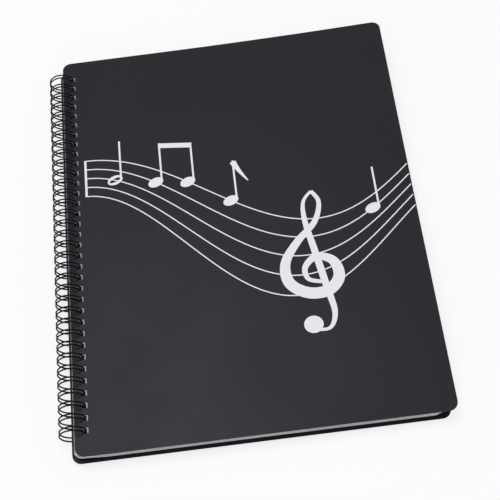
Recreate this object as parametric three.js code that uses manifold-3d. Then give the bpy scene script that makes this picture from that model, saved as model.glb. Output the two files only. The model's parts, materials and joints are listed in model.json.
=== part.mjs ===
// Music folder: a twin-loop wire binding holds two plastic covers and a block of clear sleeves.
// Millimetres, +Z up. The spine runs along Y with the wire at -X, and the front cover faces +Z.
// Every piece is drawn about the ring axis, the line that all the wire loops share.

import * as THREE from 'three';
import { mergeVertices } from 'three/addons/utils/BufferGeometryUtils.js';
import Module from 'manifold-3d';

const wasm = await Module();
wasm.setup();

// Covers
const coverWidth = 235;
const coverLength = 312;
const coverThickness = 0.7;
const coverCornerRadius = 6;
const coverHoleMargin = 6.75;
const cornerSegments = 3;
const quarterArcHandle = (4 / 3) * (Math.SQRT2 - 1);

// Sleeves
const sleeveBlockHeight = 9.5;
const sleeveHoleMargin = 5;
const sleeveForeEdgeInset = 5.5;
const sleeveEndInset = 3.2;
const sleeveCornerRadius = 5;
const sleeveBundleCount = 5;
const sleeveEdgeGroove = 0.45;
const sheetClearance = 0.05;

// Punched holes
const holeSize = 4.2;
const loopPitch = 25.4 / 3;
const spineEndMargin = 15;
const loopCount = Math.floor((coverLength - 2 * spineEndMargin) / loopPitch) + 1;
const bindingOffset = 1;

// Twin-loop wire
const ringRadius = 8.5;
const wireDiameter = 1;
const loopWidth = 2.5;
const wireBendRadius = 1.2;
const wireClearance = 0.3;
const closureClearance = 0.4;
const legSteps = 10;
const tipSteps = 3;

// How the sheets hang on the ring
const backHoleAngle = THREE.MathUtils.degToRad(-57);
const frontCoverSlide = 0.3;
const reliefSlopeLength = 14;

// Screen print
const inkThickness = 0.15;
const inkClearance = 0.02;
const staffLineCount = 5;
const staffLineWidth = 0.8;
const staffStart = 13;
const staffSteps = 8;
const staffWave = 290;
const staffWaveHeight = 42;
const staffRise = 8;
const staffLeftSpacing = 7.5;
const staffMiddleSpacing = 16;
const staffRightSpacing = 8.5;
const clefPlace = 163;
const hollowNotePlace = 34;
const beamedNotePlaces = [62, 84];
const flaggedNotePlace = 112;
const plainNotePlace = 206;
const noteHeadLength = 11;
const noteHeadWidth = 7.4;
const noteHeadLean = 0.42;
const stemWidth = 1.3;
const stemLength = 33;
const beamThickness = 4;
const flagReach = 9;
const flagDrop = 18;
const flagWidth = 4.5;
const mergeTolerance = 0.01;

// Heights above the ring axis, from the back cover up to the front cover
const backCoverMiddle = ringRadius * Math.sin(backHoleAngle);
const backCoverTop = backCoverMiddle + coverThickness / 2;
const blockBottom = backCoverTop + sheetClearance;
const blockTop = blockBottom + sleeveBlockHeight;
const frontCoverMiddle = blockTop + sheetClearance + coverThickness / 2;
const frontCoverTop = frontCoverMiddle + coverThickness / 2;

// The closure line of the wire lies between the back cover and the sleeves, which rise over it
const closureHeight = backCoverTop + closureClearance + wireDiameter / 2;
const closureAngle = Math.asin(closureHeight / ringRadius);
const reliefHeight = closureHeight + wireDiameter / 2 + closureClearance;
const reliefEdge = ringRadius * Math.cos(closureAngle) + wireDiameter / 2 + closureClearance;

function loopY(index) {
  return (index - (loopCount - 1) / 2) * loopPitch + bindingOffset;
}

// Each sheet hangs on the ring, so its holes sit where the ring passes through its own height.
function holeCentreAt(height) {
  const reach = Math.min(Math.abs(height), ringRadius);
  const share = (height - backCoverMiddle) / (frontCoverMiddle - backCoverMiddle);
  return Math.sqrt(ringRadius ** 2 - reach ** 2) + frontCoverSlide * share;
}

function roundedSheet(width, length, radius) {
  const shape = new THREE.Shape();
  const end = length / 2;
  const pull = radius * (1 - quarterArcHandle);
  shape.moveTo(0, radius - end);
  shape.bezierCurveTo(0, pull - end, pull, -end, radius, -end);
  shape.lineTo(width - radius, -end);
  shape.bezierCurveTo(width - pull, -end, width, pull - end, width, radius - end);
  shape.lineTo(width, end - radius);
  shape.bezierCurveTo(width, end - pull, width - pull, end, width - radius, end);
  shape.lineTo(radius, end);
  shape.bezierCurveTo(pull, end, 0, end - pull, 0, end - radius);
  shape.closePath();
  return shape;
}

function squareHole(x, y) {
  const half = holeSize / 2;
  const hole = new THREE.Path();
  hole.moveTo(x - half, y - half);
  hole.lineTo(x - half, y + half);
  hole.lineTo(x + half, y + half);
  hole.lineTo(x + half, y - half);
  hole.closePath();
  return hole;
}

function toSolid(geometry) {
  geometry.deleteAttribute('normal');
  geometry.deleteAttribute('uv');
  const merged = mergeVertices(geometry, 1e-5);
  const vertProperties = new Float32Array(merged.attributes.position.array);
  const triVerts = new Uint32Array(merged.index.array);
  return new wasm.Manifold(new wasm.Mesh({ numProp: 3, vertProperties, triVerts }));
}

// The finished solid counts as one original, so no seam is left across its flat faces.
function toGeometry(solid) {
  const mesh = solid.asOriginal().simplify(mergeTolerance).getMesh();
  const indexed = new THREE.BufferGeometry();
  indexed.setAttribute('position', new THREE.BufferAttribute(mesh.vertProperties, 3));
  indexed.setIndex(new THREE.BufferAttribute(mesh.triVerts, 1));
  const geometry = indexed.toNonIndexed();
  geometry.computeVertexNormals();
  return geometry;
}

function join(solids) {
  return solids.reduce((whole, solid) => whole.add(solid));
}

// A cover is one die-cut plate with its row of square holes along the spine.
function coverGeometry(middleHeight) {
  const shape = roundedSheet(coverWidth, coverLength, coverCornerRadius);
  for (let i = 0; i < loopCount; i += 1) {
    shape.holes.push(squareHole(coverHoleMargin, loopY(i)));
  }
  const geometry = new THREE.ExtrudeGeometry(shape, {
    depth: coverThickness,
    bevelEnabled: false,
    curveSegments: cornerSegments,
  });
  const spineEdge = holeCentreAt(middleHeight) - coverHoleMargin;
  geometry.translate(spineEdge, 0, middleHeight - coverThickness / 2);
  return geometry;
}

// The sleeves lie in bundles, each a little proud at its middle, and lean with the ring.
function sleeveStack() {
  const width = coverWidth - coverHoleMargin + sleeveHoleMargin - sleeveForeEdgeInset;
  const length = coverLength - 2 * sleeveEndInset;
  const geometry = new THREE.ExtrudeGeometry(roundedSheet(width, length, sleeveCornerRadius), {
    depth: sleeveBlockHeight,
    steps: 2 * sleeveBundleCount,
    bevelEnabled: false,
    curveSegments: cornerSegments,
  });
  const position = geometry.attributes.position;
  const bundleHeight = sleeveBlockHeight / sleeveBundleCount;
  for (let i = 0; i < position.count; i += 1) {
    const depth = position.getZ(i);
    const fromSeam = Math.abs(depth / bundleHeight - Math.round(depth / bundleHeight));
    const draw = fromSeam < 0.25 ? sleeveEdgeGroove : 0;
    const x = position.getX(i) * (1 - 2 * draw / width) + draw;
    const y = position.getY(i) * (1 - 2 * draw / length);
    const height = blockBottom + depth;
    position.setXYZ(i, x + holeCentreAt(height) - sleeveHoleMargin, y, height);
  }
  return toSolid(geometry);
}

// One hole through the whole block follows the curve of the ring.
function sleeveHole(y) {
  const overrun = 1;
  const shape = new THREE.Shape();
  shape.moveTo(-holeSize / 2, y - holeSize / 2);
  shape.lineTo(holeSize / 2, y - holeSize / 2);
  shape.lineTo(holeSize / 2, y + holeSize / 2);
  shape.lineTo(-holeSize / 2, y + holeSize / 2);
  shape.closePath();
  const geometry = new THREE.ExtrudeGeometry(shape, {
    depth: sleeveBlockHeight + 2 * overrun,
    steps: 3,
    bevelEnabled: false,
  });
  const position = geometry.attributes.position;
  for (let i = 0; i < position.count; i += 1) {
    const height = blockBottom - overrun + position.getZ(i);
    position.setXYZ(i, position.getX(i) + holeCentreAt(height), position.getY(i), height);
  }
  return toSolid(geometry);
}

// Along the spine the lowest sleeves rise over the wire's closure line.
function closureRelief() {
  const overrun = 1;
  const left = -ringRadius;
  const rise = reliefHeight - blockBottom;
  const slopeEnd = reliefEdge + reliefSlopeLength * (1 + overrun / rise);
  const shape = new THREE.Shape();
  shape.moveTo(left, blockBottom - overrun);
  shape.lineTo(slopeEnd, blockBottom - overrun);
  shape.lineTo(reliefEdge, reliefHeight);
  shape.lineTo(left, reliefHeight);
  shape.closePath();
  const geometry = new THREE.ExtrudeGeometry(shape, { depth: coverLength, bevelEnabled: false });
  geometry.rotateX(Math.PI / 2);
  geometry.translate(0, coverLength / 2, 0);
  return toSolid(geometry);
}

function pageBlockGeometry() {
  const holes = [];
  for (let i = 0; i < loopCount; i += 1) {
    holes.push(sleeveHole(loopY(i)));
  }
  return toGeometry(sleeveStack().subtract(join(holes)).subtract(closureRelief()));
}

// The wire's centre line as straight runs between stations, with mitred turns.
class WirePath extends THREE.Curve {
  constructor(stations) {
    super();
    this.stations = stations;
  }

  getPoint(t, target = new THREE.Vector3()) {
    const place = t * (this.stations.length - 1);
    const index = Math.min(Math.floor(place), this.stations.length - 2);
    return target.lerpVectors(this.stations[index], this.stations[index + 1], place - index);
  }

  getPointAt(u, target) {
    return this.getPoint(u, target);
  }

  getTangentAt(u, target = new THREE.Vector3()) {
    const last = this.stations.length - 1;
    const index = Math.round(u * last);
    const here = this.stations[index];
    target.set(0, 0, 0);
    if (index > 0) {
      target.add(here.clone().sub(this.stations[index - 1]).normalize());
    }
    if (index < last) {
      target.add(this.stations[index + 1].clone().sub(here).normalize());
    }
    return target.normalize();
  }
}

// Wraps a place on the flat wire form, drawn as arc angle and length along the spine, round the ring.
function onRing(angle, y, radius = ringRadius) {
  return new THREE.Vector3(radius * Math.cos(angle), y, radius * Math.sin(angle));
}

// One continuous wire: along the closure line, down and round to each loop's rounded tip, and back.
// The tip stops just past the closure line, nested between the two bends of its own loop.
function wireStations() {
  const halfWidth = loopWidth / 2;
  const bendReach = halfWidth + wireBendRadius;
  const nest = Math.sqrt((bendReach + wireDiameter + wireClearance) ** 2 - bendReach ** 2) - bendReach;
  const legStart = closureAngle - wireBendRadius / ringRadius;
  const tipCentre = closureAngle - 2 * Math.PI + (nest + halfWidth) / ringRadius;
  const legStep = (tipCentre - legStart) / legSteps;
  const legRadius = 2 * ringRadius / (1 + Math.cos(legStep / 2));
  const stations = [];
  for (let i = 0; i < loopCount; i += 1) {
    const y = loopY(i);
    stations.push(onRing(closureAngle, y - bendReach));
    for (let step = 0; step <= legSteps; step += 1) {
      stations.push(onRing(legStart + step * legStep, y - halfWidth, legRadius));
    }
    for (let step = 1; step < tipSteps; step += 1) {
      const turn = Math.PI * step / tipSteps;
      const angle = tipCentre - halfWidth * Math.sin(turn) / ringRadius;
      stations.push(onRing(angle, y - halfWidth * Math.cos(turn), legRadius));
    }
    for (let step = legSteps; step >= 0; step -= 1) {
      stations.push(onRing(legStart + step * legStep, y + halfWidth, legRadius));
    }
    stations.push(onRing(closureAngle, y + bendReach));
  }
  return stations;
}

function wireGeometry() {
  const section = new THREE.Shape();
  section.absarc(0, 0, wireDiameter / 2, 0, 2 * Math.PI);
  const path = new WirePath(wireStations());
  return new THREE.ExtrudeGeometry(section, {
    extrudePath: path,
    steps: path.stations.length - 1,
    curveSegments: 2,
  });
}

// The staff: its middle line dips from the spine and rises again, and its lines spread where it dips.
function staffMiddle(x) {
  return staffRise + staffWaveHeight * Math.cos(2 * Math.PI * (x - staffStart) / staffWave);
}

function staffSpacing(x) {
  const along = (x - staffStart) / (coverWidth - staffStart);
  const ends = THREE.MathUtils.lerp(staffLeftSpacing, staffRightSpacing, along);
  return THREE.MathUtils.lerp(ends, staffMiddleSpacing, Math.sin(Math.PI * along) ** 2);
}

function staffY(x, line) {
  return staffMiddle(x) + line * staffSpacing(x);
}

// A stroke of changing width along a curve, as a pen or a brush would leave it.
function strokeShape(curve, widthAt, steps) {
  const left = [];
  const right = [];
  for (let i = 0; i <= steps; i += 1) {
    const t = i / steps;
    const point = curve.getPoint(t);
    const tangent = curve.getTangent(t);
    const side = new THREE.Vector2(-tangent.y, tangent.x).multiplyScalar(widthAt(t) / 2);
    left.push(point.clone().add(side));
    right.unshift(point.clone().sub(side));
  }
  return new THREE.Shape([...left, ...right]);
}

function inkSolid(shape, curveSegments = 5) {
  const geometry = new THREE.ExtrudeGeometry(shape, {
    depth: inkThickness,
    bevelEnabled: false,
    curveSegments,
  });
  return toSolid(geometry);
}

function inkBar(x0, y0, x1, y1, width) {
  const line = new THREE.LineCurve(new THREE.Vector2(x0, y0), new THREE.Vector2(x1, y1));
  return inkSolid(strokeShape(line, () => width, 1));
}

class StaffLine extends THREE.Curve {
  constructor(line) {
    super();
    this.line = line;
  }

  getPoint(t, target = new THREE.Vector2()) {
    const x = THREE.MathUtils.lerp(staffStart, coverWidth - staffLineWidth, t);
    return target.set(x, staffY(x, this.line));
  }
}

function staffSolids() {
  const solids = [];
  const outer = (staffLineCount - 1) / 2;
  for (let line = -outer; line <= outer; line += 1) {
    solids.push(inkSolid(strokeShape(new StaffLine(line), () => staffLineWidth, staffSteps)));
  }
  const barX = staffStart + staffLineWidth;
  const barBottom = staffY(barX, -outer) - staffLineWidth / 2;
  const barTop = staffY(barX, outer) + staffLineWidth / 2;
  solids.push(inkBar(barX, barBottom, barX, barTop, 2 * staffLineWidth));
  return solids;
}

// The clef curls round the second line: a spiral that opens into the bowl and climbs to the top
// loop, and a stem that falls through it to a ball. Its points are in staff spaces.
function clefSolids() {
  const unit = staffSpacing(clefPlace);
  const lineY = staffY(clefPlace, -1);
  const place = (x, y) => new THREE.Vector2(clefPlace + x * unit, lineY + y * unit);
  const bowl = new THREE.SplineCurve([
    place(0.1, -0.55), place(-0.5, -0.3), place(-0.55, 0.35), place(0.05, 0.85),
    place(0.8, 0.5), place(0.95, -0.4), place(0.35, -1.05), place(-0.6, -1.05),
    place(-1.4, -0.4), place(-1.45, 0.7), place(-0.75, 1.8), place(0.2, 2.8),
    place(0.55, 3.9), place(0.25, 4.6),
  ]);
  const stem = new THREE.SplineCurve([
    place(0.25, 4.6), place(-0.2, 4), place(-0.25, 2.9), place(0, 1.2),
    place(0.3, -0.8), place(0.5, -2.2), place(0.2, -3), place(-0.45, -3.05),
  ]);
  const bowlWidth = (t) => unit * (0.2 + 0.4 * Math.sin(Math.PI * t) ** 2);
  const stemTaper = (t) => unit * (0.14 + 0.2 * Math.sin(Math.PI * t) ** 2);
  const ball = new THREE.Shape();
  const ballPlace = place(-0.55, -2.75);
  ball.absarc(ballPlace.x, ballPlace.y, 0.45 * unit, 0, 2 * Math.PI);
  return [
    inkSolid(strokeShape(bowl, bowlWidth, 19)),
    inkSolid(strokeShape(stem, stemTaper, 11)),
    inkSolid(ball, 5),
  ];
}

function noteHead(x, y, hollow = false) {
  const head = new THREE.Shape();
  head.absellipse(x, y, noteHeadLength / 2, noteHeadWidth / 2, 0, 2 * Math.PI, false, noteHeadLean);
  if (hollow) {
    const eye = new THREE.Path();
    eye.absellipse(x, y, 0.38 * noteHeadLength, 0.2 * noteHeadWidth, 0, 2 * Math.PI, true, noteHeadLean);
    head.holes.push(eye);
  }
  return inkSolid(head, 4);
}

// Where a stem stands on the right-hand side of its head.
function stemX(x) {
  return x + noteHeadLength / 2 - stemWidth;
}

function stemmedNote(x, line, hollow = false) {
  const y = staffY(x, line);
  return [noteHead(x, y, hollow), inkBar(stemX(x), y, stemX(x), y + stemLength, stemWidth)];
}

// A flag leaves the stem's end and curls down beside it.
function flaggedNote(x, line) {
  const top = staffY(x, line) + stemLength;
  const root = stemX(x);
  const flag = new THREE.QuadraticBezierCurve(
    new THREE.Vector2(root, top - flagWidth / 4),
    new THREE.Vector2(root + flagReach / 3, top - flagDrop / 2),
    new THREE.Vector2(root + flagReach, top - flagDrop),
  );
  return [...stemmedNote(x, line), inkSolid(strokeShape(flag, (t) => flagWidth * (1 - 0.8 * t), 3))];
}

// Two heads whose stems end on one beam.
function beamedPair(x0, line0, x1, line1) {
  const y0 = staffY(x0, line0);
  const y1 = staffY(x1, line1);
  const top0 = y0 + stemLength;
  const top1 = y1 + stemLength;
  const drop = beamThickness / 2;
  const half = stemWidth / 2;
  return [
    noteHead(x0, y0),
    noteHead(x1, y1),
    inkBar(stemX(x0), y0, stemX(x0), top0 - drop, stemWidth),
    inkBar(stemX(x1), y1, stemX(x1), top1 - drop, stemWidth),
    inkBar(stemX(x0) - half, top0 - drop, stemX(x1) + half, top1 - drop, beamThickness),
  ];
}

// The print is one thin layer of ink: every sign stands on the staff and touches it.
function printGeometry() {
  const ink = join([
    ...staffSolids(),
    ...clefSolids(),
    ...stemmedNote(hollowNotePlace, 0, true),
    ...beamedPair(beamedNotePlaces[0], 1, beamedNotePlaces[1], 2),
    ...flaggedNote(flaggedNotePlace, 2),
    ...stemmedNote(plainNotePlace, 1),
  ]);
  const geometry = toGeometry(ink);
  const spineEdge = holeCentreAt(frontCoverMiddle) - coverHoleMargin;
  geometry.translate(spineEdge, 0, frontCoverTop + inkClearance);
  return geometry;
}

function makePiece(name, geometry, material) {
  const piece = new THREE.Mesh(geometry, material);
  piece.name = name;
  return piece;
}

const coverMaterial = new THREE.MeshStandardMaterial({ color: '#343236', roughness: 0.55, metalness: 0 });
const backMaterial = new THREE.MeshStandardMaterial({ color: '#1c1c1e', roughness: 0.5, metalness: 0 });
const sleeveMaterial = new THREE.MeshStandardMaterial({ color: '#c4c4c8', roughness: 0.4, metalness: 0 });
const wireMaterial = new THREE.MeshStandardMaterial({ color: '#141416', roughness: 0.35, metalness: 0.2 });
const inkMaterial = new THREE.MeshStandardMaterial({ color: '#e9e7ee', roughness: 0.6, metalness: 0 });

const wire = makePiece('wire_binding', wireGeometry(), wireMaterial);

const folder = new THREE.Group();
folder.add(
  makePiece('front_cover', coverGeometry(frontCoverMiddle), coverMaterial),
  makePiece('back_cover', coverGeometry(backCoverMiddle), backMaterial),
  makePiece('page_block', pageBlockGeometry(), sleeveMaterial),
  makePiece('cover_print', printGeometry(), inkMaterial),
  wire,
);

// At rest the folder leans a little, down on its fore-edge from the loops under its spine.
const ringBottom = new THREE.Box3().setFromObject(wire).min.z;
const foreEdge = new THREE.Vector2(
  holeCentreAt(backCoverMiddle) - coverHoleMargin + coverWidth,
  backCoverMiddle - coverThickness / 2,
);
const restTilt = foreEdge.angle() - 2 * Math.PI + Math.asin(-ringBottom / foreEdge.length());
folder.rotation.y = restTilt;

// The origin is under the middle of the folder, on the surface that it lies on.
const rested = new THREE.Box3().setFromObject(folder, true);
folder.position.set(
  -(rested.min.x + rested.max.x) / 2,
  -(rested.min.y + rested.max.y) / 2,
  -rested.min.z,
);

const root = new THREE.Group();
root.add(folder);

export default root;
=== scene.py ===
"""A music folder on a pale floor: matt black covers, clear sleeves, a twin-loop wire and white ink.

Sizes are in millimetres from the ring axis, the line that all the wire loops share, with +X
towards the fore-edge, +Y towards the head and +Z out of the front cover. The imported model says
where that axis lies and how far the folder leans. The studio's sizes are in metres.
"""

import json
import logging
import math
import random
from abc import ABC, abstractmethod
from collections.abc import Callable, Sequence
from dataclasses import dataclass, field
from enum import Enum

import bmesh
import bpy
from mathutils import Matrix, Vector

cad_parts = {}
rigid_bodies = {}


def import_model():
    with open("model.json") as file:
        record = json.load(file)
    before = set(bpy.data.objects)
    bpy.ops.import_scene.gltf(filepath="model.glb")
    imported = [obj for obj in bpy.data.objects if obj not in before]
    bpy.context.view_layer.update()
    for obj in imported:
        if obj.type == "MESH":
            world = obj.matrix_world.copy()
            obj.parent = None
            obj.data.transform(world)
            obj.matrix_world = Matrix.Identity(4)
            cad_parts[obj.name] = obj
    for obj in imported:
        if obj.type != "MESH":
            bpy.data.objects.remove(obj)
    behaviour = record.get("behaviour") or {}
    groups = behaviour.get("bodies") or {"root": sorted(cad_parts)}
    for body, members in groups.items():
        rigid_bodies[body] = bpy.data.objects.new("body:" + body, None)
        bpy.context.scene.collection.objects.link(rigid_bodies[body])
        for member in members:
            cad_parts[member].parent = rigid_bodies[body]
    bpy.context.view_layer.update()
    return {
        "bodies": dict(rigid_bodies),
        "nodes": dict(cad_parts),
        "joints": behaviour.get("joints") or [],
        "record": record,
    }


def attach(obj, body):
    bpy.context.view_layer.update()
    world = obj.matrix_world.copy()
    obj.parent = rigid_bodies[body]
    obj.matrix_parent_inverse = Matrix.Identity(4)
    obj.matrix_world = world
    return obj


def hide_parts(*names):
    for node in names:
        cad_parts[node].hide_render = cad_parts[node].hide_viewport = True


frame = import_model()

logging.basicConfig(level=logging.INFO, format="%(message)s")
log = logging.getLogger("music_folder")

MM = 0.001

# A colour Mix node's sockets by number, because its kinds of Mix share their names
MIX_A, MIX_B, MIX_RESULT = 6, 7, 2

# Edges that turn more than this are a sheet's rims
RIM_ANGLE = math.radians(60)


class Body(str, Enum):
    """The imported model's bodies."""

    BACK = "back_cover"
    PAGES = "page_block"
    FRONT = "front_cover"


class Slot(str, Enum):
    """The record's material slots."""

    BACK = "back_cover"
    SLEEVES = "sleeves"
    FRONT = "front_cover"
    INK = "cover_ink"
    WIRE = "binding_wire"


def srgb(code: str) -> tuple[float, float, float, float]:
    """Turns an sRGB hex colour to a linear one.

    Args:
        code: The colour as "#rrggbb".

    Returns:
        The linear red, green, blue and an alpha of 1.
    """
    parts = [int(code[i:i + 2], 16) / 255 for i in (1, 3, 5)]
    linear = [c / 12.92 if c <= 0.04045 else ((c + 0.055) / 1.055) ** 2.4 for c in parts]
    return (*linear, 1.0)


def add_node(
    tree: bpy.types.NodeTree,
    kind: str,
    settings: dict[str, object] | None = None,
    values: dict[str | int, object] | None = None,
    links: dict[str | int, bpy.types.NodeSocket] | None = None,
) -> bpy.types.Node:
    """Adds one node with its settings, input values and incoming links.

    Args:
        tree: The tree that the node goes into.
        kind: The node's type, such as "ShaderNodeBump".
        settings: Attributes of the node itself.
        values: Input values by socket name or number.
        links: The output sockets that feed the named inputs.

    Returns:
        The new node.
    """
    node = tree.nodes.new(kind)
    for name, value in (settings or {}).items():
        setattr(node, name, value)
    for name, value in (values or {}).items():
        node.inputs[name].default_value = value
    for name, socket in (links or {}).items():
        tree.links.new(socket, node.inputs[name])
    return node


def background_rays(tree: bpy.types.NodeTree) -> bpy.types.NodeSocket:
    """Tells the rays that see the background, straight, mirrored or through clear things.

    Args:
        tree: The floor's or the world's nodes.

    Returns:
        A socket that is 1 for those rays.
    """
    path = add_node(tree, "ShaderNodeLightPath")
    seen = path.outputs["Is Camera Ray"]
    for kind in ("Is Glossy Ray", "Is Transmission Ray"):
        seen = add_node(
            tree, "ShaderNodeMath", settings={"operation": "MAXIMUM"},
            links={0: seen, 1: path.outputs[kind]},
        ).outputs[0]
    return seen


@dataclass(frozen=True)
class FolderPlace:
    """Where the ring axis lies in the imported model, and how far the folder leans about it."""

    axis: Vector
    tilt: float

    @classmethod
    def from_frame(cls, packed: dict) -> "FolderPlace":
        """Reads the axis from the hinges and the lean from the back cover's mount.

        Args:
            packed: The frame that was loaded.

        Returns:
            The folder's place.
        """
        hinge = packed["record"]["behaviour"]["joints"][0]
        normal = packed["record"]["mounts"][0]["axis"]
        return cls(Vector(hinge["pos_m"]), math.atan2(-normal[0], -normal[2]))

    def matrix(self) -> Matrix:
        """Returns the matrix from folder millimetres to the model's metres."""
        turn = Matrix.Rotation(self.tilt, 4, "Y")
        return Matrix.Translation(self.axis) @ turn @ Matrix.Scale(MM, 4)


@dataclass(frozen=True)
class FolderSizes:
    """The folder's driving sizes, as in the model."""

    cover_width: float = 235
    cover_length: float = 312
    cover_thickness: float = 0.7
    cover_corner: float = 6
    cover_hole_margin: float = 6.75
    block_height: float = 9.5
    sleeve_hole_margin: float = 5
    sleeve_inset: float = 5.5
    sleeve_end_inset: float = 3.2
    sleeve_corner: float = 5
    sheet_clearance: float = 0.05
    hole_size: float = 4.2
    pitch: float = 25.4 / 3
    end_margin: float = 15
    binding_offset: float = 1
    ring_radius: float = 8.5
    wire_diameter: float = 1
    loop_width: float = 2.5
    bend_radius: float = 1.2
    wire_clearance: float = 0.3
    closure_clearance: float = 0.4
    back_hole_angle: float = math.radians(-57)
    front_slide: float = 0.3
    relief_slope: float = 14

    @property
    def loop_count(self) -> int:
        """How many loops fit along the spine."""
        return math.floor((self.cover_length - 2 * self.end_margin) / self.pitch) + 1

    @property
    def back_middle(self) -> float:
        """The height of the back cover's middle."""
        return self.ring_radius * math.sin(self.back_hole_angle)

    @property
    def block_bottom(self) -> float:
        """The height of the lowest sleeve's underside."""
        return self.back_middle + self.cover_thickness / 2 + self.sheet_clearance

    @property
    def front_middle(self) -> float:
        """The height of the front cover's middle."""
        return self.block_bottom + self.block_height + self.sheet_clearance + self.cover_thickness / 2

    @property
    def closure_height(self) -> float:
        """The height of the wire's closure line, just over the back cover."""
        top = self.back_middle + self.cover_thickness / 2
        return top + self.closure_clearance + self.wire_diameter / 2

    @property
    def relief_height(self) -> float:
        """The height to which the lowest sleeves rise over the closure line."""
        return self.closure_height + self.wire_diameter / 2 + self.closure_clearance

    @property
    def relief_edge(self) -> float:
        """How far from the ring axis the sleeves stay raised."""
        closure = self.ring_radius * math.cos(math.asin(self.closure_height / self.ring_radius))
        return closure + self.wire_diameter / 2 + self.closure_clearance

    @property
    def sleeve_width(self) -> float:
        """The sleeves' width."""
        return self.cover_width - self.cover_hole_margin + self.sleeve_hole_margin - self.sleeve_inset

    @property
    def sleeve_fore_edge(self) -> float:
        """How far from the ring axis the uppermost sleeve ends."""
        return self.hole_centre(self.front_middle) - self.sleeve_hole_margin + self.sleeve_width

    def loop_y(self, index: int) -> float:
        """Returns the place of a loop along the spine."""
        return (index - (self.loop_count - 1) / 2) * self.pitch + self.binding_offset

    def hole_centre(self, height: float) -> float:
        """Returns how far from the ring axis the holes sit in a sheet at this height."""
        share = (height - self.back_middle) / (self.front_middle - self.back_middle)
        return math.sqrt(self.ring_radius ** 2 - height ** 2) + self.front_slide * share


SIZES = FolderSizes()


@dataclass(frozen=True)
class CoverBow:
    """How a plastic front cover lifts off its stack towards the head of the fore-edge."""

    lift: float = 3.6
    start: float = 0.3

    def at(self, x: float, y: float) -> float:
        """Works out the lift at a place on the cover.

        Args:
            x: The place from the spine edge towards the fore-edge.
            y: The place from the middle towards the head.

        Returns:
            The lift in millimetres.
        """
        across = max(0.0, (x / SIZES.cover_width - self.start) / (1 - self.start))
        along = max(0.0, y / SIZES.cover_length + 0.5)
        return self.lift * across ** 2 * along ** 3


FLAT = CoverBow(lift=0)


class Finish(ABC):
    """The looks of one real material, drawn in Object coordinates."""

    name: str

    @abstractmethod
    def surface(self, tree: bpy.types.NodeTree, place: bpy.types.NodeSocket) -> bpy.types.NodeSocket:
        """Adds the nodes of the finish.

        Args:
            tree: The material's nodes.
            place: The Object coordinates.

        Returns:
            The shader's output.
        """

    def make(self) -> bpy.types.Material:
        """Builds the material.

        Returns:
            The finished material.
        """
        material = bpy.data.materials.new(self.name)
        material.use_nodes = True
        tree = material.node_tree
        tree.nodes.clear()
        place = add_node(tree, "ShaderNodeTexCoord").outputs["Object"]
        shader = self.surface(tree, place)
        add_node(tree, "ShaderNodeOutputMaterial", links={"Surface": shader})
        return material


@dataclass(frozen=True)
class PolypropyleneFinish(Finish):
    """Polypropylene sheet, rolled with a fine matt grain, as on presentation folders.

    The grain scatters the light to a soft, slightly violet sheen. Its colour and gloss drift a
    little, as where hands and other books have polished it.
    """

    name: str
    colour: str
    worn_colour: str
    roughness: float
    roughness_drop: float = 0.04
    roughness_rise: float = 0.05
    gloss_level: float = 0.2
    gloss_colour: str = "#edeaff"
    # The real grain is about half as wide, too fine to show
    grain_mm: float = 0.35
    grain_depth_mm: float = 0.02
    grain_strength: float = 0.35
    polish_mm: float = 60

    def surface(self, tree: bpy.types.NodeTree, place: bpy.types.NodeSocket) -> bpy.types.NodeSocket:
        """Adds the nodes of the finish.

        Args:
            tree: The material's nodes.
            place: The Object coordinates.

        Returns:
            The shader's output.
        """
        grain = add_node(
            tree, "ShaderNodeTexNoise",
            values={"Scale": 1 / (self.grain_mm * MM), "Detail": 2.0, "Roughness": 0.6},
            links={"Vector": place},
        )
        polish = add_node(
            tree, "ShaderNodeTexNoise",
            values={"Scale": 1 / (self.polish_mm * MM), "Detail": 4.0, "Roughness": 0.55},
            links={"Vector": place},
        )
        tone = add_node(
            tree, "ShaderNodeMix", settings={"data_type": "RGBA"},
            values={MIX_A: srgb(self.colour), MIX_B: srgb(self.worn_colour)},
            links={"Factor": polish.outputs["Fac"]},
        )
        gloss = add_node(
            tree, "ShaderNodeMapRange",
            values={"From Min": 0.3, "From Max": 0.7, "To Min": self.roughness - self.roughness_drop,
                    "To Max": self.roughness + self.roughness_rise},
            links={"Value": polish.outputs["Fac"]},
        )
        bump = add_node(
            tree, "ShaderNodeBump",
            values={"Strength": self.grain_strength, "Distance": self.grain_depth_mm * MM},
            links={"Height": grain.outputs["Fac"]},
        )
        shader = add_node(
            tree, "ShaderNodeBsdfPrincipled",
            values={"IOR": 1.49, "Specular IOR Level": self.gloss_level,
                    "Specular Tint": srgb(self.gloss_colour)},
            links={"Base Color": tone.outputs[MIX_RESULT], "Roughness": gloss.outputs["Result"],
                   "Normal": bump.outputs["Normal"]},
        )
        return shader.outputs["BSDF"]


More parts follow.
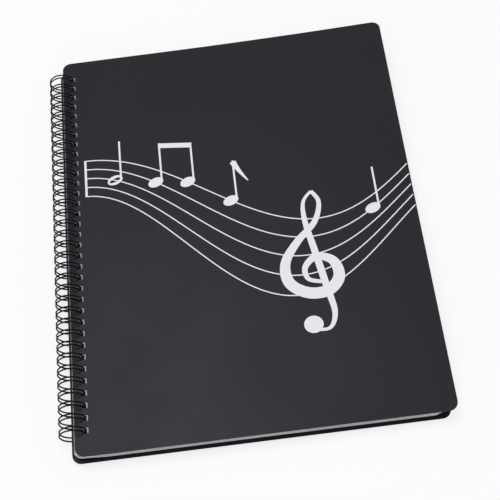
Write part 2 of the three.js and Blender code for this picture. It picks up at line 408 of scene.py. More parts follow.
@dataclass(frozen=True)
class SleeveEdgeFinish(Finish):
    """Clear film and white paper, cut together: pale streaks that run along the stack's edges.

    The darker streaks are partly painted shade and the pale ones partly painted highlight,
    as light falls on uneven cut edges; the rest is leaf differing from leaf.
    """

    name: str = "film_and_paper_guillotined"
    pale: str = "#f6f6f8"
    shaded: str = "#bdbdc6"
    pale_from: float = 0.6
    shaded_to: float = 0.34
    leaf_mm: float = 0.43
    streaks_per_leaf: float = 0.6
    waver_mm: float = 80

    def surface(self, tree: bpy.types.NodeTree, place: bpy.types.NodeSocket) -> bpy.types.NodeSocket:
        """Adds the nodes of the finish.

        Args:
            tree: The material's nodes.
            place: The Object coordinates.

        Returns:
            The shader's output.
        """
        # The pattern is fine up the stack, where one leaf follows another, and long beside it
        along = 1 / (self.waver_mm * MM)
        leaves = add_node(
            tree, "ShaderNodeMapping",
            values={"Scale": (along, along, self.streaks_per_leaf / (self.leaf_mm * MM))},
            links={"Vector": place},
        )
        streaks = add_node(
            tree, "ShaderNodeTexNoise",
            values={"Scale": 1.0, "Detail": 3.0, "Roughness": 0.7},
            links={"Vector": leaves.outputs["Vector"]},
        )
        tone = add_node(tree, "ShaderNodeValToRGB", links={"Fac": streaks.outputs["Fac"]})
        # The shaded stop is partly painted shade and the pale stop partly painted highlight
        stops = ((self.shaded_to, self.shaded), (self.pale_from, self.pale))
        for stop, (position, colour) in zip(tone.color_ramp.elements, stops):
            stop.position = position
            stop.color = srgb(colour)
        shader = add_node(
            tree, "ShaderNodeBsdfPrincipled",
            values={"Roughness": 0.35, "IOR": 1.49},
            links={"Base Color": tone.outputs["Color"]},
        )
        return shader.outputs["BSDF"]


@dataclass(frozen=True)
class SleeveFaceFinish(Finish):
    """An embossed clear pocket with a white sheet in it, welded along its foot and fore-edge.

    The punched strip has no paper behind it, so it looks greyer than the pocket. The embossing
    breaks up the film's gloss. The paper starts at a place from the ring axis, and the insets
    are from the sleeve's foot and fore-edge.
    """

    origin: Vector
    name: str = "clear_film_embossed_over_paper"
    paper: str = "#f1f1f3"
    paper_shade: str = "#e9e9ed"
    bare_film: str = "#82828b"
    weld_colour: str = "#c4c4cc"
    # The real embossing is finer, and wouldn't show
    emboss_mm: float = 0.8
    emboss_depth_mm: float = 0.04
    emboss_strength: float = 0.3
    cling_mm: float = 50
    paper_start: float = 21
    paper_inset: float = 5
    weld_inset: float = 2.4
    weld_width: float = 0.9

    def surface(self, tree: bpy.types.NodeTree, place: bpy.types.NodeSocket) -> bpy.types.NodeSocket:
        """Adds the nodes of the finish.

        Args:
            tree: The material's nodes.
            place: The Object coordinates.

        Returns:
            The shader's output.
        """
        split = add_node(tree, "ShaderNodeSeparateXYZ", links={"Vector": place})
        fore = SIZES.sleeve_fore_edge
        foot = SIZES.cover_length / 2 - SIZES.sleeve_end_inset
        first, last = self.paper_start, fore - self.paper_inset
        # Each row gives an axis, the middle of a band across it and half the band's width
        bands = {
            "paper_x": ("X", (first + last) / 2, (last - first) / 2),
            "paper_y": ("Y", 0, foot - self.paper_inset),
            "weld_x": ("X", fore - self.weld_inset, self.weld_width / 2),
            "weld_y": ("Y", self.weld_inset - foot, self.weld_width / 2),
        }
        masks = {}
        for name, (axis, middle, half) in bands.items():
            shift = self.origin.x if axis == "X" else 0
            masks[name] = add_node(
                tree, "ShaderNodeMath", settings={"operation": "COMPARE"},
                values={1: shift + middle * MM, 2: half * MM}, links={0: split.outputs[axis]},
            ).outputs[0]
        paper = add_node(
            tree, "ShaderNodeMath", settings={"operation": "MULTIPLY"},
            links={0: masks["paper_x"], 1: masks["paper_y"]},
        ).outputs[0]
        weld = add_node(
            tree, "ShaderNodeMath", settings={"operation": "MAXIMUM"},
            links={0: masks["weld_x"], 1: masks["weld_y"]},
        ).outputs[0]
        cling = add_node(
            tree, "ShaderNodeTexNoise",
            values={"Scale": 1 / (self.cling_mm * MM), "Detail": 3.0},
            links={"Vector": place},
        )
        sheet = add_node(
            tree, "ShaderNodeMix", settings={"data_type": "RGBA"},
            values={MIX_A: srgb(self.paper), MIX_B: srgb(self.paper_shade)},
            links={"Factor": cling.outputs["Fac"]},
        )
        pocket = add_node(
            tree, "ShaderNodeMix", settings={"data_type": "RGBA"},
            values={MIX_A: srgb(self.bare_film)},
            links={"Factor": paper, MIX_B: sheet.outputs[MIX_RESULT]},
        )
        tone = add_node(
            tree, "ShaderNodeMix", settings={"data_type": "RGBA"},
            values={MIX_B: srgb(self.weld_colour)},
            links={"Factor": weld, MIX_A: pocket.outputs[MIX_RESULT]},
        )
        emboss = add_node(
            tree, "ShaderNodeTexNoise",
            values={"Scale": 1 / (self.emboss_mm * MM), "Detail": 1.0},
            links={"Vector": place},
        )
        height = add_node(
            tree, "ShaderNodeMath", settings={"operation": "SUBTRACT"},
            links={0: emboss.outputs["Fac"], 1: weld},
        )
        bump = add_node(
            tree, "ShaderNodeBump",
            values={"Strength": self.emboss_strength, "Distance": self.emboss_depth_mm * MM},
            links={"Height": height.outputs[0]},
        )
        shader = add_node(
            tree, "ShaderNodeBsdfPrincipled",
            values={"Roughness": 0.28, "IOR": 1.49},
            links={"Base Color": tone.outputs[MIX_RESULT], "Normal": bump.outputs["Normal"]},
        )
        return shader.outputs["BSDF"]


@dataclass(frozen=True)
class CoatedWireFinish(Finish):
    """Steel wire dipped in black nylon: smooth and dark, with thin satin lights along it."""

    name: str = "steel_wire_nylon_dipped"
    colour: str = "#060607"
    light_colour: str = "#0c0c0d"
    coat_mm: float = 1.6
    coat_depth_mm: float = 0.02
    coat_strength: float = 0.2

    def surface(self, tree: bpy.types.NodeTree, place: bpy.types.NodeSocket) -> bpy.types.NodeSocket:
        """Adds the nodes of the finish.

        Args:
            tree: The material's nodes.
            place: The Object coordinates.

        Returns:
            The shader's output.
        """
        coat = add_node(
            tree, "ShaderNodeTexNoise",
            values={"Scale": 1 / (self.coat_mm * MM), "Detail": 2.0},
            links={"Vector": place},
        )
        tone = add_node(
            tree, "ShaderNodeMix", settings={"data_type": "RGBA"},
            values={MIX_A: srgb(self.colour), MIX_B: srgb(self.light_colour)},
            links={"Factor": coat.outputs["Fac"]},
        )
        bump = add_node(
            tree, "ShaderNodeBump",
            values={"Strength": self.coat_strength, "Distance": self.coat_depth_mm * MM},
            links={"Height": coat.outputs["Fac"]},
        )
        # The gloss is set low, to match how dark the wire looks
        shader = add_node(
            tree, "ShaderNodeBsdfPrincipled",
            values={"Roughness": 0.34, "IOR": 1.53, "Specular IOR Level": 0.06},
            links={"Base Color": tone.outputs[MIX_RESULT], "Normal": bump.outputs["Normal"]},
        )
        return shader.outputs["BSDF"]


@dataclass(frozen=True)
class ScreenInkFinish(Finish):
    """White plastic ink, screen printed: matt, slightly thin where the mesh held it back."""

    name: str = "plastic_ink_screen_printed"
    colour: str = "#e9e7ed"
    thin_colour: str = "#d7d5dd"
    full_from: float = 0.55
    thin_to: float = 0.25
    # A real screen's threads lie about 0.1 mm apart, too fine to show
    mesh_mm: float = 0.4
    mesh_depth_mm: float = 0.01
    mesh_strength: float = 0.2

    def surface(self, tree: bpy.types.NodeTree, place: bpy.types.NodeSocket) -> bpy.types.NodeSocket:
        """Adds the nodes of the finish.

        Args:
            tree: The material's nodes.
            place: The Object coordinates.

        Returns:
            The shader's output.
        """
        mesh = add_node(
            tree, "ShaderNodeTexNoise",
            values={"Scale": 1 / (self.mesh_mm * MM), "Detail": 2.0},
            links={"Vector": place},
        )
        tone = add_node(tree, "ShaderNodeValToRGB", links={"Fac": mesh.outputs["Fac"]})
        stops = ((self.thin_to, self.thin_colour), (self.full_from, self.colour))
        for stop, (position, colour) in zip(tone.color_ramp.elements, stops):
            stop.position = position
            stop.color = srgb(colour)
        bump = add_node(
            tree, "ShaderNodeBump",
            values={"Strength": self.mesh_strength, "Distance": self.mesh_depth_mm * MM},
            links={"Height": mesh.outputs["Fac"]},
        )
        shader = add_node(
            tree, "ShaderNodeBsdfPrincipled",
            values={"Roughness": 0.62, "IOR": 1.46},
            links={"Base Color": tone.outputs["Color"], "Normal": bump.outputs["Normal"]},
        )
        return shader.outputs["BSDF"]


@dataclass(frozen=True)
class PaperRollFinish(Finish):
    """A matt paper roll: even white with no gloss, so that only the folder's soft shadow shows."""

    name: str = "paper_roll_matt_white"
    colour: str = "#f7f7f7"
    background: str = "#ffffff"
    background_share: float = 0.75

    def surface(self, tree: bpy.types.NodeTree, place: bpy.types.NodeSocket) -> bpy.types.NodeSocket:
        """Adds the nodes of the finish, which is the same all over.

        Args:
            tree: The material's nodes.
            place: The Object coordinates, which are not used.

        Returns:
            The shader's output.
        """
        paper = add_node(tree, "ShaderNodeBsdfDiffuse", values={"Color": srgb(self.colour)})
        white = add_node(tree, "ShaderNodeEmission", values={"Color": srgb(self.background)})
        share = add_node(
            tree, "ShaderNodeMath", settings={"operation": "MULTIPLY"},
            values={1: self.background_share}, links={0: background_rays(tree)},
        )
        both = add_node(
            tree, "ShaderNodeMixShader",
            links={0: share.outputs[0], 1: paper.outputs["BSDF"], 2: white.outputs["Emission"]},
        )
        return both.outputs["Shader"]


@dataclass
class FolderPart(ABC):
    """A part of the folder, which builds its piece of the scene and then dresses it."""

    place: FolderPlace

    @abstractmethod
    def build(self) -> bpy.types.Object:
        """Builds the part in place of its node.

        Returns:
            The piece, still without a finish.
        """

    @abstractmethod
    def finishes(self) -> list[Finish]:
        """Returns the part's finishes, by its faces' material numbers."""

    def dress(self, piece: bpy.types.Object) -> None:
        """Gives the piece its finishes.

        Args:
            piece: The piece that the part built.
        """
        for finish in self.finishes():
            piece.data.materials.append(finish.make())

    def put_in_scene(
        self, name: str, shape: bmesh.types.BMesh, body: Body, slot: Slot, node: str,
        smooth_angle: float = 35,
    ) -> bpy.types.Object:
        """Puts a shape drawn in folder millimetres into the scene, on the body that carries it.

        Args:
            name: The piece's name.
            shape: The shape, which is used up.
            body: The body it moves with.
            slot: The record's material slot, which is not used.
            node: The node of the model that it replaces.
            smooth_angle: The angle in degrees under which neighbouring faces shade as one.

        Returns:
            The new object.
        """
        bmesh.ops.transform(shape, matrix=self.place.matrix(), verts=shape.verts)
        bmesh.ops.recalc_face_normals(shape, faces=shape.faces)
        mesh = bpy.data.meshes.new(name)
        shape.to_mesh(mesh)
        shape.free()
        mesh.polygons.foreach_set("use_smooth", [True] * len(mesh.polygons))
        mesh.set_sharp_from_angle(angle=math.radians(smooth_angle))
        piece = bpy.data.objects.new(name, mesh)
        bpy.context.collection.objects.link(piece)
        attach(piece, body.value)
        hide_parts(node)
        return piece


def punched_sheet(
    width: float, length: float, corner: float, hole_margin: float, cross_cuts: Sequence[float],
    corner_steps: int = 10,
) -> bmesh.types.BMesh:
    """Draws a flat sheet with round corners and its row of square holes.

    The sheet is cut into strips at the holes' sides, and the pieces inside the holes are removed.

    Args:
        width: From the spine edge to the fore-edge.
        length: From the foot to the head.
        corner: The corners' radius.
        hole_margin: From the spine edge to the holes' middles.
        cross_cuts: More places across the sheet where it can bend.
        corner_steps: How many stretches round off each corner.

    Returns:
        The sheet, with its spine edge at X 0.
    """
    sheet = bmesh.new()
    bmesh.ops.create_grid(sheet, x_segments=1, y_segments=1, size=0.5)
    bmesh.ops.scale(sheet, vec=(width, length, 1), verts=sheet.verts)
    bmesh.ops.translate(sheet, vec=(width / 2, 0, 0), verts=sheet.verts)
    bmesh.ops.bevel(
        sheet, geom=list(sheet.verts), offset=corner, segments=corner_steps,
        affect="VERTICES", profile=0.5, material=-1,
    )
    half = SIZES.hole_size / 2
    loops = [SIZES.loop_y(i) for i in range(SIZES.loop_count)]
    across = [hole_margin - half, hole_margin + half, *cross_cuts]
    along = [y + side * half for y in loops for side in (-1, 1)]
    cuts = [((x, 0, 0), (1, 0, 0)) for x in across] + [((0, y, 0), (0, 1, 0)) for y in along]
    for point, normal in cuts:
        everything = [*sheet.verts, *sheet.edges, *sheet.faces]
        bmesh.ops.bisect_plane(sheet, geom=everything, plane_co=point, plane_no=normal)
    punched = []
    for face in sheet.faces:
        middle = face.calc_center_median()
        nearest = min(loops, key=lambda y: abs(y - middle.y))
        if abs(middle.x - hole_margin) < half and abs(middle.y - nearest) < half:
            punched.append(face)
    bmesh.ops.delete(sheet, geom=punched, context="FACES")
    return sheet


def thicken(
    sheet: bmesh.types.BMesh, thickness: float, edge_radius: float = 0, edge_steps: int = 2
) -> None:
    """Gives a flat sheet its thickness upwards, and rounds its rims.

    Args:
        sheet: The flat sheet.
        thickness: How thick it becomes.
        edge_radius: The radius of its rims, or 0 for sharp ones.
        edge_steps: How many stretches round off each rim.
    """
    made = bmesh.ops.extrude_face_region(sheet, geom=list(sheet.faces))
    raised = [v for v in made["geom"] if isinstance(v, bmesh.types.BMVert)]
    bmesh.ops.translate(sheet, vec=(0, 0, thickness), verts=raised)
    bmesh.ops.recalc_face_normals(sheet, faces=sheet.faces)
    if edge_radius:
        rims = [e for e in sheet.edges if e.calc_face_angle(0) > RIM_ANGLE]
        bmesh.ops.bevel(
            sheet, geom=rims, offset=edge_radius, segments=edge_steps,
            affect="EDGES", profile=0.5, material=-1,
        )


@dataclass
class CoverSheet(FolderPart):
    """One die-cut plastic cover."""

    body: Body
    slot: Slot
    middle: float
    finish: PolypropyleneFinish
    bow: CoverBow = FLAT
    edge_radius: float = 0.08
    bend_count: int = 12
    # Under the turn between face and rim, so that the faces shade flat right up to their edges
    smooth_angle: float = 20

    def build(self) -> bpy.types.Object:
        """Builds the cover in place of its node.

        Returns:
            The cover, still without a finish.
        """
        step = SIZES.cover_width / self.bend_count
        bends = [step * i for i in range(1, self.bend_count)]
        sheet = punched_sheet(
            SIZES.cover_width, SIZES.cover_length, SIZES.cover_corner, SIZES.cover_hole_margin, bends
        )
        thicken(sheet, SIZES.cover_thickness, self.edge_radius)
        for vert in sheet.verts:
            vert.co.z += self.bow.at(vert.co.x, vert.co.y)
        spine_edge = SIZES.hole_centre(self.middle) - SIZES.cover_hole_margin
        underside = self.middle - SIZES.cover_thickness / 2
        bmesh.ops.translate(sheet, vec=(spine_edge, 0, underside), verts=sheet.verts)
        node = self.body.value
        return self.put_in_scene(
            f"{node}_sheet", sheet, self.body, self.slot, node, self.smooth_angle
        )

    def finishes(self) -> list[Finish]:
        """Returns the cover's one finish."""
        return [self.finish]


@dataclass
class SleeveStack(FolderPart):
    """The clear sleeves: many thin leaves that lean with the ring and rise over its closure.

    Each leaf lies nearer to the spine and the foot by a small amount of its own, as loose leaves
    on rings do. The bends are places from a leaf's spine edge.
    """

    leaf_count: int = 22
    leaf_share: float = 0.86
    stagger: float = 0.3
    spine_slack: tuple[float, float] = (0.75, 1.3)
    foot_slump: float = 0.45
    bends: tuple[float, ...] = (10.5, 13, 16, 19, 23, 28)
    seed: int = 7

    def rise(self, x: float, height: float) -> float:
        """Works out how far a leaf bends up over the closure line.

        Args:
            x: The place from the ring axis towards the fore-edge.
            height: The leaf's own height.

        Returns:
            The rise in millimetres.
        """
        gap = SIZES.relief_height - SIZES.block_bottom
        crowd = 1 - (height - SIZES.block_bottom) / SIZES.block_height
        fall = min(1.0, max(0.0, (x - SIZES.relief_edge) / SIZES.relief_slope))
        return gap * crowd * (1 - fall * fall * (3 - 2 * fall))

    def draw_leaf(self, thickness: float) -> bpy.types.Mesh:
        """Draws one leaf, with 0 as its faces' material number and 1 as its edges'.

        Args:
            thickness: How thick the leaf is.

        Returns:
            The leaf as a mesh, to be copied.
        """
        length = SIZES.cover_length - 2 * SIZES.sleeve_end_inset
        leaf = punched_sheet(
            SIZES.sleeve_width, length, SIZES.sleeve_corner, SIZES.sleeve_hole_margin, self.bends
        )
        thicken(leaf, thickness)
        for face in leaf.faces:
            face.material_index = 0 if abs(face.normal.z) > 0.5 else 1
        mesh = bpy.data.meshes.new("leaf")
        leaf.to_mesh(mesh)
        leaf.free()
        return mesh

    def build(self) -> bpy.types.Object:
        """Builds every leaf in one piece, in place of the page block.

        Returns:
            The stack, still without a finish.
        """
        pitch = SIZES.block_height / self.leaf_count
        leaf = self.draw_leaf(pitch * self.leaf_share)
        chance = random.Random(self.seed)
        stack = bmesh.new()
        for i in range(self.leaf_count):
            first = len(stack.verts)
            stack.from_mesh(leaf)
            stack.verts.ensure_lookup_table()
            verts = stack.verts[first:]
            height = SIZES.block_bottom + pitch * i
            spine_edge = SIZES.hole_centre(height + pitch / 2) - SIZES.sleeve_hole_margin
            loose = chance.uniform(*self.spine_slack)
            slide = (spine_edge - loose, chance.uniform(-1, 1) * self.stagger - self.foot_slump)
            bmesh.ops.translate(stack, vec=(*slide, height), verts=verts)
            for vert in verts:
                vert.co.z += self.rise(vert.co.x, height)
        bpy.data.meshes.remove(leaf)
        return self.put_in_scene("sleeve_stack", stack, Body.PAGES, Slot.SLEEVES, "page_block")

    def finishes(self) -> list[Finish]:
        """Returns the finish of the leaves' faces, then that of their edges."""
        return [SleeveFaceFinish(self.place.axis), SleeveEdgeFinish()]


@dataclass
class WireBinding(FolderPart):
    """The binding: one wire that runs out to a rounded tip and back for every loop."""

    leg_points: int = 36
    tip_points: int = 9
    bend_points: int = 5
    section_steps: int = 3
    merge_distance: float = 0.001
    smooth_angle: float = 60
    finish: CoatedWireFinish = field(default_factory=CoatedWireFinish)

    def on_ring(self, reach: float, y: float) -> Vector:
        """Wraps a place on the flat wire form round the ring.

        Args:
            reach: The length along the ring from its +X side.
            y: The place along the spine.

        Returns:
            The point in folder millimetres.
        """
        radius = SIZES.ring_radius
        angle = reach / radius
        return Vector((radius * math.cos(angle), y, radius * math.sin(angle)))

    def route(self) -> list[Vector]:
        """Follows the wire's middle from its first bend to its last.

        Returns:
            The points in folder millimetres.
        """
        radius = SIZES.ring_radius
        half = SIZES.loop_width / 2
        bend = SIZES.bend_radius
        reach = half + bend
        span = reach + SIZES.wire_diameter + SIZES.wire_clearance
        nest = math.sqrt(span ** 2 - reach ** 2) - reach
        closure = radius * math.asin(SIZES.closure_height / radius)
        leg_start = closure - bend
        tip_centre = closure + nest + half - 2 * math.pi * radius
        points = []
        for i in range(SIZES.loop_count):
            y = SIZES.loop_y(i)
            half_loop = []
            for k in range(self.bend_points):
                turn = math.pi / 2 * k / self.bend_points
                half_loop.append((closure - bend * (1 - math.cos(turn)), reach - bend * math.sin(turn)))
            for k in range(self.leg_points + 1):
                along = leg_start + (tip_centre - leg_start) * k / self.leg_points
                half_loop.append((along, half))
            for k in range(1, self.tip_points // 2 + 1):
                turn = math.pi * k / self.tip_points
                half_loop.append((tip_centre - half * math.sin(turn), half * math.cos(turn)))
            points += [self.on_ring(along, y - side) for along, side in half_loop]
            points += [self.on_ring(along, y + side) for along, side in reversed(half_loop)]
        return points

    def build(self) -> bpy.types.Object:
        """Builds the wire as a round tube in place of its node.

        Returns:
            The wire, still without a finish.
        """
        curve = bpy.data.curves.new("wire_route", "CURVE")
        curve.dimensions = "3D"
        curve.bevel_depth = SIZES.wire_diameter / 2
        curve.bevel_resolution = self.section_steps
        curve.use_fill_caps = True
        route = self.route()
        spline = curve.splines.new("POLY")
        spline.points.add(len(route) - 1)
        for point, target in zip(spline.points, route):
            point.co = (*target, 1)
        holder = bpy.data.objects.new("wire_route", curve)
        bpy.context.collection.objects.link(holder)
        bpy.context.view_layer.update()
        tube = bmesh.new()
        tube.from_mesh(bpy.data.meshes.new_from_object(holder))
        bpy.data.objects.remove(holder)
        bmesh.ops.remove_doubles(tube, verts=tube.verts, dist=self.merge_distance)
        return self.put_in_scene(
            "wire_loops", tube, Body.BACK, Slot.WIRE, "wire_binding", self.smooth_angle
        )

    def finishes(self) -> list[Finish]:
        """Returns the wire's one finish."""
        return [self.finish]


@dataclass
class InkArtist:
    """Draws flat ink shapes on the cover, each a hair higher than the last so that none flickers."""

    thickness: float = 0.15
    clearance: float = 0.02
    layer_step: float = 0.002
    # A stroke's direction is taken between places this share of its way before and after
    nudge: float = 0.0005
    circle_steps: int = 36
    eye_length_share: float = 0.76
    eye_width_share: float = 0.4
    layers: int = 0
    ink: bmesh.types.BMesh = field(default_factory=bmesh.new)

    def raise_faces(self, first: int) -> None:
        """Gives the faces drawn since a count their thickness.

        Args:
            first: How many faces there were before.
        """
        self.ink.faces.ensure_lookup_table()
        made = bmesh.ops.extrude_face_region(self.ink, geom=self.ink.faces[first:])
        raised = [v for v in made["geom"] if isinstance(v, bmesh.types.BMVert)]
        top = self.thickness + self.layer_step * self.layers
        self.layers += 1
        bmesh.ops.translate(self.ink, vec=(0, 0, top), verts=raised)

    def stroke(
        self, path: Callable[[float], Vector], width: Callable[[float], float], steps: int
    ) -> None:
        """Draws a stroke of changing width by drawing its end along a path.

        Args:
            path: The place at each share of the way.
            width: The width at each share of the way.
            steps: How many stretches it has.
        """
        first = len(self.ink.faces)
        edge = None
        for i in range(steps + 1):
            t = i / steps
            here = path(t)
            along = path(min(1, t + self.nudge)) - path(max(0, t - self.nudge))
            side = Vector((-along.y, along.x, 0)).normalized() * (width(t) / 2)
            ends = (here + side, here - side)
            if edge is None:
                edge = self.ink.edges.new([self.ink.verts.new(p) for p in ends])
                continue
            made = bmesh.ops.extrude_edge_only(self.ink, edges=[edge])["geom"]
            verts = [v for v in made if isinstance(v, bmesh.types.BMVert)]
            sides = [e for e in made if isinstance(e, bmesh.types.BMEdge)]
            edge = next(e for e in sides if set(e.verts) == set(verts))
            near = sorted(verts, key=lambda v: (v.co - ends[0]).length - (v.co - ends[1]).length)
            near[0].co, near[1].co = ends
        self.raise_faces(first)

    def bar(self, start: Vector, end: Vector, width: float) -> None:
        """Draws a straight bar.

        Args:
            start: Its first end.
            end: Its last end.
            width: Its width.
        """
        self.stroke(lambda t: start.lerp(end, t), lambda t: width, 1)

    def oval(
        self, centre: Vector, length: float, width: float, lean: float, hollow: bool = False
    ) -> None:
        """Draws a leaning oval, or a ring of that outline.

        Args:
            centre: Its middle.
            length: Its long axis.
            width: Its short axis.
            lean: How far the long axis is turned, in radians.
            hollow: Whether it has an eye.
        """
        first = len(self.ink.faces)
        place = Matrix.Translation(centre) @ Matrix.Rotation(lean, 4, "Z")
        outer = place @ Matrix.Diagonal((length / 2, width / 2, 1, 1))
        rim = bmesh.ops.create_circle(
            self.ink, cap_ends=not hollow, segments=self.circle_steps, radius=1, matrix=outer
        )
        if hollow:
            half_axes = (self.eye_length_share * length / 2, self.eye_width_share * width / 2)
            inner = place @ Matrix.Diagonal((*half_axes, 1, 1))
            eye = bmesh.ops.create_circle(
                self.ink, segments=self.circle_steps, radius=1, matrix=inner
            )
            rings = {e for v in rim["verts"] + eye["verts"] for e in v.link_edges}
            bmesh.ops.bridge_loops(self.ink, edges=list(rings))
        self.raise_faces(first)


def smooth_path(points: list[Vector]) -> Callable[[float], Vector]:
    """Makes a smooth path through points.

    Args:
        points: The points it passes.

    Returns:
        The place at each share of the way, counted by points.
    """
    def at(t: float) -> Vector:
        """Works out a place between its two nearest points, bent by the points beyond them.

        Args:
            t: The share of the way.

        Returns:
            The place.
        """
        place = t * (len(points) - 1)
        i = min(int(place), len(points) - 2)
        w = place - i
        p0 = points[max(i - 1, 0)]
        p1 = points[i]
        p2 = points[i + 1]
        p3 = points[min(i + 2, len(points) - 1)]
        bend = 2 * p0 - 5 * p1 + 4 * p2 - p3
        twist = 3 * p1 - p0 - 3 * p2 + p3
        return 0.5 * (2 * p1 + (p2 - p0) * w + bend * w * w + twist * w ** 3)

    return at


@dataclass(frozen=True)
class ClefStroke:
    """A stroke of the clef, through points in staff gaps from the middle of its spiral."""

    points: tuple[tuple[float, float], ...]
    thin: float
    swell: float
    steps: int


CLEF_BOWL = ClefStroke(
    ((0.1, -0.55), (-0.5, -0.3), (-0.55, 0.35), (0.05, 0.85), (0.8, 0.5), (0.95, -0.4),
     (0.35, -1.05), (-0.6, -1.05), (-1.4, -0.4), (-1.45, 0.7), (-0.75, 1.8), (0.2, 2.8),
     (0.55, 3.9), (0.25, 4.6)),
    thin=0.2, swell=0.4, steps=150,
)
CLEF_STEM = ClefStroke(
    ((0.25, 4.6), (-0.2, 4), (-0.25, 2.9), (0, 1.2), (0.3, -0.8), (0.5, -2.2), (0.2, -3),
     (-0.45, -3.05)),
    thin=0.14, swell=0.2, steps=90,
)


@dataclass
class CoverPrint(FolderPart):
    """The white print: a staff in a wave, a clef and a few notes, as plain signs.

    Places across the cover are from its spine edge, and the clef's ball is in staff gaps.
    """

    line_count: int = 5
    line_width: float = 0.8
    start: float = 13
    left_spacing: float = 7.5
    middle_spacing: float = 16
    right_spacing: float = 8.5
    wave: float = 290
    wave_height: float = 42
    rise: float = 8
    staff_steps: int = 80
    clef_place: float = 163
    ball_place: tuple[float, float] = (-0.55, -2.75)
    ball_width: float = 0.9
    hollow_note: float = 34
    beamed_notes: tuple[float, float] = (62, 84)
    flagged_note: float = 112
    plain_note: float = 206
    head_length: float = 11
    head_width: float = 7.4
    head_lean: float = 0.42
    stem_width: float = 1.3
    stem_length: float = 33
    beam_thickness: float = 4
    flag_reach: float = 9
    flag_drop: float = 18
    flag_width: float = 4.5
    flag_taper: float = 0.8
    flag_steps: int = 16
    bow: CoverBow = FLAT
    finish: ScreenInkFinish = field(default_factory=ScreenInkFinish)

    def spacing(self, x: float) -> float:
        """Works out the gap between staff lines.

        Args:
            x: The place across the cover.

        Returns:
            The gap in millimetres.
        """
        along = (x - self.start) / (SIZES.cover_width - self.start)
        ends = self.left_spacing + (self.right_spacing - self.left_spacing) * along
        return ends + (self.middle_spacing - ends) * math.sin(math.pi * along) ** 2

    def on_staff(self, x: float, line: float) -> Vector:
        """Returns a place on the staff, with line 0 in its middle."""
        middle = self.rise + self.wave_height * math.cos(2 * math.pi * (x - self.start) / self.wave)
        return Vector((x, middle + line * self.spacing(x), 0))

    def stem_foot(self, head: Vector) -> Vector:
        """Returns where the stem stands on the right of its head."""
        return head + Vector((self.head_length / 2 - self.stem_width, 0, 0))

    def draw_staff(self, artist: InkArtist) -> None:
        """Draws the lines and the bar that opens them.

        Args:
            artist: The ink to draw with.
        """
        outer = (self.line_count - 1) / 2
        end = SIZES.cover_width - self.line_width
        for i in range(self.line_count):
            line = i - outer
            artist.stroke(
                lambda t: self.on_staff(self.start + (end - self.start) * t, line),
                lambda t: self.line_width, self.staff_steps,
            )
        half = Vector((0, self.line_width / 2, 0))
        place = self.start + self.line_width
        foot = self.on_staff(place, -outer) - half
        artist.bar(foot, self.on_staff(place, outer) + half, 2 * self.line_width)

    def draw_clef(self, artist: InkArtist) -> None:
        """Draws the clef: a spiral that opens and climbs, and a stem that falls to a ball.

        Args:
            artist: The ink to draw with.
        """
        unit = self.spacing(self.clef_place)
        centre = self.on_staff(self.clef_place, -1)
        for part in (CLEF_BOWL, CLEF_STEM):
            path = smooth_path([centre + Vector((x, y, 0)) * unit for x, y in part.points])
            artist.stroke(
                path, lambda t: unit * (part.thin + part.swell * math.sin(math.pi * t) ** 2), part.steps
            )
        ball = centre + Vector((*self.ball_place, 0)) * unit
        artist.oval(ball, self.ball_width * unit, self.ball_width * unit, 0)

    def draw_note(self, artist: InkArtist, x: float, line: float, hollow: bool = False) -> Vector:
        """Draws a head and its stem.

        Args:
            artist: The ink to draw with.
            x: The head's place across the cover.
            line: The head's line on the staff.
            hollow: Whether the head has an eye.

        Returns:
            The stem's upper end.
        """
        head = self.on_staff(x, line)
        artist.oval(head, self.head_length, self.head_width, self.head_lean, hollow)
        foot = self.stem_foot(head)
        top = foot + Vector((0, self.stem_length, 0))
        artist.bar(foot, top, self.stem_width)
        return top

    def draw_notes(self, artist: InkArtist) -> None:
        """Draws the notes that stand on the staff.

        Args:
            artist: The ink to draw with.
        """
        self.draw_note(artist, self.hollow_note, 0, hollow=True)
        first = self.draw_note(artist, self.beamed_notes[0], 1)
        last = self.draw_note(artist, self.beamed_notes[1], 2)
        half_stem = Vector((self.stem_width / 2, 0, 0))
        drop = Vector((0, self.beam_thickness / 2, 0))
        artist.bar(first - half_stem - drop, last + half_stem - drop, self.beam_thickness)
        top = self.draw_note(artist, self.flagged_note, 2)
        # The flag leaves the stem steeply and swings out to its tip
        root = top - Vector((0, self.flag_width / 4, 0))
        knee = top + Vector((self.flag_reach / 3, -self.flag_drop / 2, 0))
        tip = top + Vector((self.flag_reach, -self.flag_drop, 0))
        artist.stroke(
            lambda t: root.lerp(knee, t).lerp(knee.lerp(tip, t), t),
            lambda t: self.flag_width * (1 - self.flag_taper * t), self.flag_steps,
        )
        self.draw_note(artist, self.plain_note, 1)

    def build(self) -> bpy.types.Object:
        """Builds the print in place of its node.

        Returns:
            The print, still without a finish.
        """
        artist = InkArtist()
        self.draw_staff(artist)
        self.draw_clef(artist)
        self.draw_notes(artist)
        for vert in artist.ink.verts:
            vert.co.z += self.bow.at(vert.co.x, vert.co.y)
        spine_edge = SIZES.hole_centre(SIZES.front_middle) - SIZES.cover_hole_margin
        height = SIZES.front_middle + SIZES.cover_thickness / 2 + artist.clearance
        bmesh.ops.translate(artist.ink, vec=(spine_edge, 0, height), verts=artist.ink.verts)
        return self.put_in_scene("staff_print", artist.ink, Body.FRONT, Slot.INK, "cover_print")

    def finishes(self) -> list[Finish]:
        """Returns the print's one finish."""
        return [self.finish]


@dataclass(frozen=True)
class SoftLamp:
    """A soft square lamp that faces the folder, with its place and side in metres."""

    name: str
    place: tuple[float, float, float]
    side: float
    watts: float

    def hang(self) -> None:
        """Hangs the lamp at its place."""
        data = bpy.data.lights.new(self.name, "AREA")
        data.size = self.side
        data.energy = self.watts
        lamp = bpy.data.objects.new(self.name, data)
        lamp.location = self.place
        lamp.rotation_euler = (-Vector(self.place)).to_track_quat("-Z", "Y").to_euler()
        bpy.context.collection.objects.link(lamp)


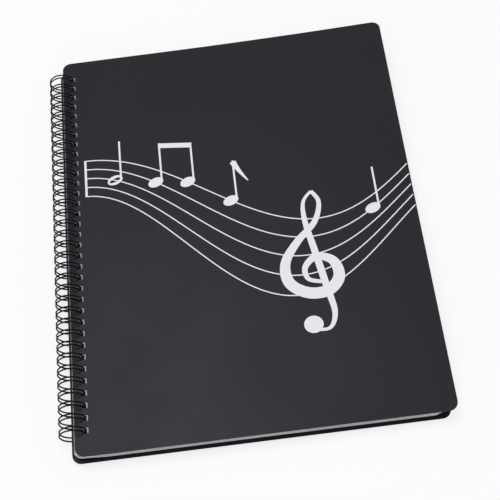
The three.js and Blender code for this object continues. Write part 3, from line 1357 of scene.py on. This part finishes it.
@dataclass
class Studio:
    """A white paper roll, soft light from above and the photograph's camera."""

    azimuth: float = 1.322
    elevation: float = 58.108
    roll: float = 8.547
    distance: float = 0.8395
    target: tuple[float, float, float] = (0.0083, -0.0171, 0)
    focal_px: float = 1247.3
    image_px: float = 500
    sensor_mm: float = 36
    nearest: float = 0.01
    floor_reach: float = 4
    white: str = "#ffffff"
    room_level: float = 0.55
    lamps: tuple[SoftLamp, ...] = (
        SoftLamp("overhead", (-0.22, 0.4, 1.6), 0.8, 10.7),
        SoftLamp("front_fill", (-0.3, -1.5, 0.6), 0.9, 7),
    )

    def make_camera(self) -> None:
        """Places the camera at the photograph's viewing angle."""
        angles = (self.azimuth, self.elevation, self.roll)
        turn, height, roll = [math.radians(angle) for angle in angles]
        flat = math.cos(height)
        back = Vector((math.sin(turn) * flat, -math.cos(turn) * flat, math.sin(height)))
        level = (-back).cross(Vector((0, 0, 1))).normalized()
        down = (-back).cross(level)
        right = math.cos(roll) * level + math.sin(roll) * down
        up = math.sin(roll) * level - math.cos(roll) * down
        data = bpy.data.cameras.new("camera")
        data.sensor_width = self.sensor_mm
        data.lens = self.sensor_mm * self.focal_px / self.image_px
        data.clip_start = self.nearest
        camera = bpy.data.objects.new("camera", data)
        rows = Matrix((right, up, back)).transposed().to_4x4()
        camera.matrix_world = Matrix.Translation(Vector(self.target) + back * self.distance) @ rows
        bpy.context.collection.objects.link(camera)
        bpy.context.scene.camera = camera

    def make_floor(self) -> None:
        """Lays the pale floor, which shows white to the camera and keeps the folder's shadow."""
        shape = bmesh.new()
        bmesh.ops.create_grid(shape, x_segments=1, y_segments=1, size=self.floor_reach)
        mesh = bpy.data.meshes.new("floor")
        shape.to_mesh(mesh)
        shape.free()
        mesh.materials.append(PaperRollFinish().make())
        floor = bpy.data.objects.new("floor", mesh)
        bpy.context.collection.objects.link(floor)

    def make_world(self) -> None:
        """Fills the room with even light, and shows it white to the camera."""
        world = bpy.data.worlds.new("white_room")
        world.use_nodes = True
        tree = world.node_tree
        tree.nodes.clear()
        lighting, seen = [
            add_node(
                tree, "ShaderNodeBackground", values={"Color": srgb(self.white), "Strength": level}
            ).outputs["Background"]
            for level in (self.room_level, 1.0)
        ]
        mix = add_node(
            tree, "ShaderNodeMixShader", links={0: background_rays(tree), 1: lighting, 2: seen},
        )
        add_node(tree, "ShaderNodeOutputWorld", links={"Surface": mix.outputs["Shader"]})
        bpy.context.scene.world = world

    def build(self) -> None:
        """Sets up the camera, the floor, the light and the colour management."""
        self.make_camera()
        self.make_floor()
        self.make_world()
        for lamp in self.lamps:
            lamp.hang()
        bpy.context.scene.view_settings.view_transform = "Standard"


def main() -> None:
    """Builds the folder from its back cover up, then the studio."""
    place = FolderPlace.from_frame(frame)
    bow = CoverBow()
    back = PolypropyleneFinish("polypropylene_matt_rolled_back", "#0e0e10", "#131315", 0.52)
    front = PolypropyleneFinish("polypropylene_matt_rolled_front", "#0d0c0e", "#141315", 0.42)
    parts = [
        CoverSheet(place, Body.BACK, Slot.BACK, SIZES.back_middle, back),
        SleeveStack(place),
        CoverSheet(place, Body.FRONT, Slot.FRONT, SIZES.front_middle, front, bow),
        CoverPrint(place, bow=bow),
        WireBinding(place),
    ]
    for part in parts:
        piece = part.build()
        part.dress(piece)
        log.info("%s: %d faces", piece.name, len(piece.data.polygons))
    Studio().build()


if __name__ == "__main__":
    main()
